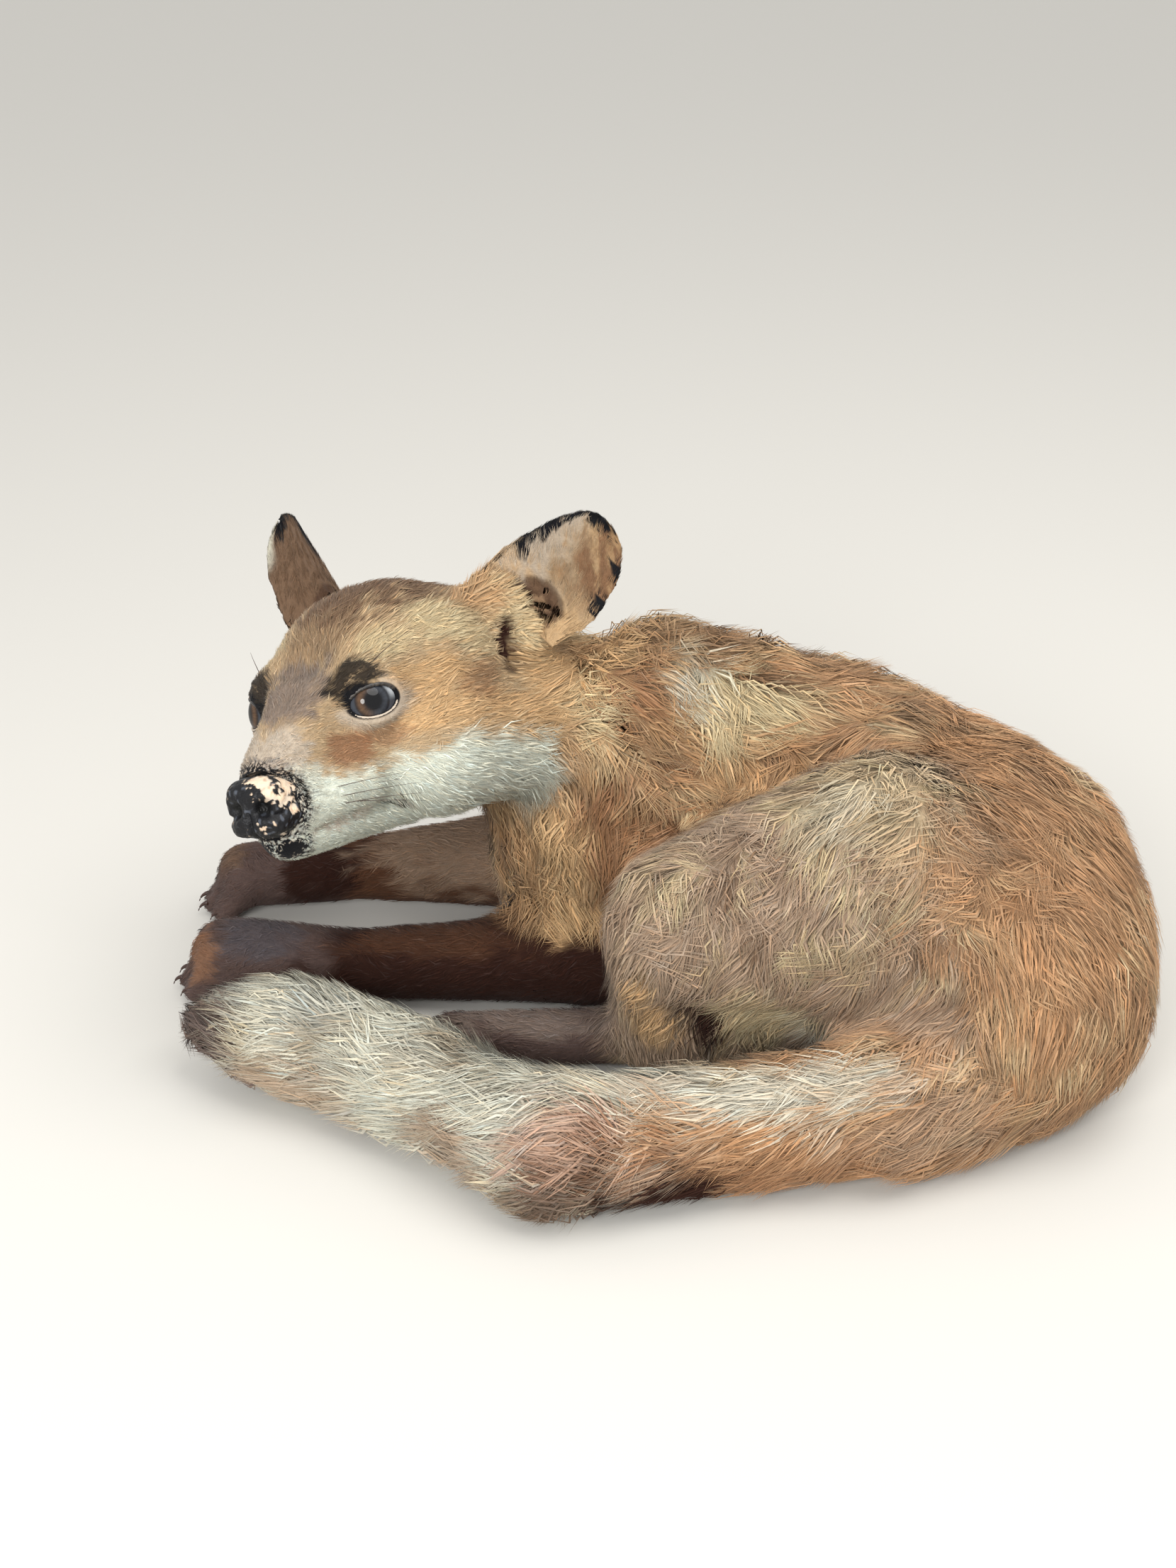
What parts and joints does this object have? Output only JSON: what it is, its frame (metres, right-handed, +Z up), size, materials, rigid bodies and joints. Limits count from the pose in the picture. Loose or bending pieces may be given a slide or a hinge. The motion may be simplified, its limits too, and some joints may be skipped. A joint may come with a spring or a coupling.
{
  "type": "taxidermy red fox",
  "caption": "Life-size taxidermy fox lying curled on its belly, head raised and turned to its left, forelegs stretched ahead, tail swept round the front.",
  "frame": {"origin": "on the floor, under the middle of the overall box", "axes": "+Z up, +X along the body towards the fox's rump (its head and paws are at -X), +Y towards its right side, away from the side it looks at"},
  "size_m": [0.4196, 0.3056, 0.2124],
  "materials": {
    "coat_russet": "matted russet and buff fur",
    "coat_pale": "cream and grey fur",
    "coat_brown": "thin brown fur over dried skin",
    "coat_dark": "short dark brown fur",
    "painted_nose": "rough black paint flaking from tan filler",
    "glass_eye": "brown iris, black pupil, pale outer corner"
  },
  "bodies": {
    "root": {"head": "coat_russet", "lower_jaw": "coat_pale", "nose_pad": "painted_nose", "eye_left": "glass_eye", "eye_right": "glass_eye", "ear_left": "coat_brown", "ear_right": "coat_brown", "neck": "coat_russet", "chest": "coat_russet", "mid_back": "coat_russet", "rump": "coat_russet", "upper_arm_left": "coat_russet", "upper_arm_right": "coat_russet", "forearm_left": "coat_dark", "forearm_right": "coat_dark", "forepaw_left": "coat_dark", "forepaw_right": "coat_dark", "thigh_left": "coat_russet", "thigh_right": "coat_russet", "shank_left": "coat_russet", "shank_right": "coat_russet", "hind_foot_left": "coat_dark", "hind_foot_right": "coat_dark", "tail_base": "coat_russet", "tail_middle": "coat_pale", "tail_tip": "coat_pale"}
  },
  "joints": []
}
